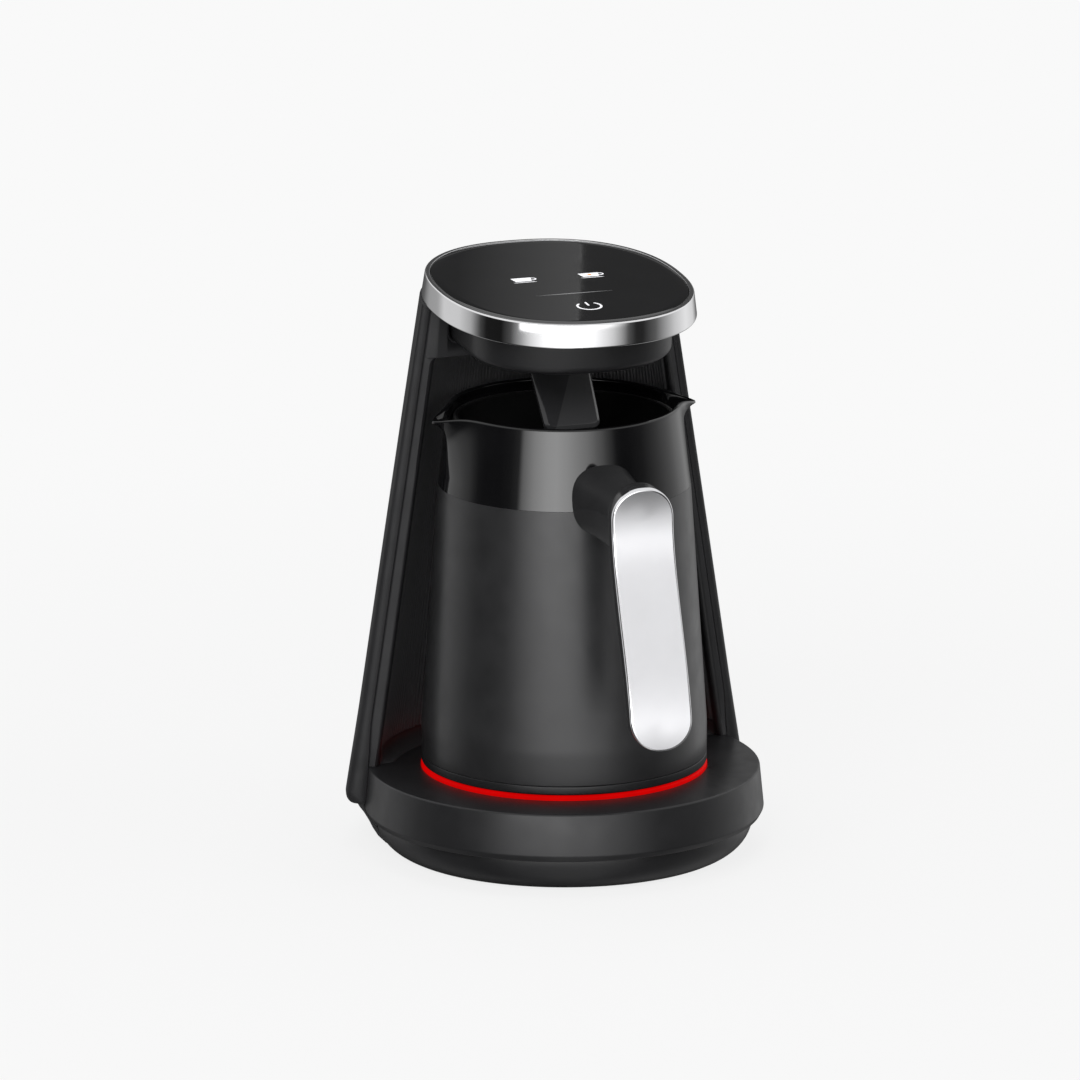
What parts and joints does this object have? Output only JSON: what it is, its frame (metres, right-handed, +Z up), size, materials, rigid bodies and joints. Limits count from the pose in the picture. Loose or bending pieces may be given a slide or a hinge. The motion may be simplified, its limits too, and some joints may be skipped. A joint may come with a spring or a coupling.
{
  "type": "electric turkish coffee maker",
  "caption": "Compact electric coffee maker: round lit base, tapered column with an oval touch head, and a lift-off pot with pouring lips and a long handle plate.",
  "frame": {"origin": "on the table, under the middle of the overall box; the common axis of base and pot stands 15.35 mm behind it", "axes": "+Z up, -Y to the front where the pot's handle points, +X to the right of someone in front of it"},
  "size_m": [0.1684, 0.2064, 0.2344],
  "materials": {
    "matt_shell": "matt black moulded plastic with a fine grain",
    "matt_panel": "matt black moulded plastic, ribbed in its recess",
    "satin_sleeve": "satin black moulded plastic",
    "gloss_plastic_black": "polished black plastic",
    "touch_surface": "polished black panel with pale printed icons",
    "bright_band": "polished chrome plating",
    "bright_plate": "satin plating with a polished edge",
    "red_light_guide": "red light guide, glows when the machine is on",
    "soft_rubber": "soft black rubber",
    "vessel_coating": "dark non-stick coating on steel",
    "cast_aluminium": "cast, machined on its faces",
    "element_tube": "heat-stained steel tube",
    "screw_steel": "zinc-plated steel",
    "contact_brass": "bright brass",
    "inner_plastic": "plain dark engineering plastic",
    "pale_plastic": "plain white plastic",
    "circuit_board": "green solder-masked board",
    "lamp_lens": "small lamps",
    "lead_sleeve": "insulated leads",
    "ribbon_grey": "grey flat cable",
    "winding_tape": "yellow winding tape over a dark core",
    "capacitor_can": "dark blue sleeve",
    "sensor_window": "dark red window"
  },
  "bodies": {
    "machine": {"base_bowl": "matt_shell", "base_cover": "matt_shell", "foot_pads": "soft_rubber", "base_screws": "screw_steel", "light_ring": "red_light_guide", "light_board": "circuit_board", "ring_lamps": "lamp_lens", "pot_seat": "matt_shell", "seat_screws": "screw_steel", "connector_base": "inner_plastic", "base_contacts": "contact_brass", "mains_leads": "lead_sleeve", "cord_gland": "soft_rubber", "rear_shell": "matt_shell", "front_panel": "matt_panel", "power_board": "circuit_board", "transformer": "winding_tape", "relay": "inner_plastic", "capacitors": "capacitor_can", "terminal_block": "pale_plastic", "board_screws": "screw_steel", "signal_ribbon": "ribbon_grey", "column_screws": "screw_steel", "head_cover": "matt_shell", "head_tray": "matt_shell", "chrome_band": "bright_band", "touch_glass": "touch_surface", "touch_board": "circuit_board", "key_springs": "screw_steel", "icon_mask": "pale_plastic", "buzzer": "inner_plastic", "head_screws": "screw_steel", "flap_pin": "screw_steel"},
    "flap": {"sensor_flap": "gloss_plastic_black", "sensor_lens": "sensor_window"},
    "pot": {"foot_ring": "matt_shell", "pot_sleeve": "satin_sleeve", "pot_collar": "gloss_plastic_black", "pot_liner": "vessel_coating", "liner_seal": "soft_rubber", "heater_plate": "cast_aluminium", "heating_element": "element_tube", "temperature_sensor": "contact_brass", "thermal_fuse": "pale_plastic", "bottom_plate": "inner_plastic", "connector_pot": "inner_plastic", "pot_contacts": "contact_brass", "pot_screws": "screw_steel", "handle_screws": "screw_steel", "handle_grip": "gloss_plastic_black", "handle_plate": "bright_plate"}
  },
  "joints": [
    {"name": "pot_lift", "type": "slide", "parent": "machine", "child": "pot", "axis": [0, 0, 1], "range_m": [0, 0.016]},
    {"name": "sensor_flap_hinge", "type": "hinge", "parent": "machine", "child": "flap", "pos_m": [0, 0.03285, 0.2096], "axis": [-1, 0, 0], "range_deg": [0, 30]}
  ]
}
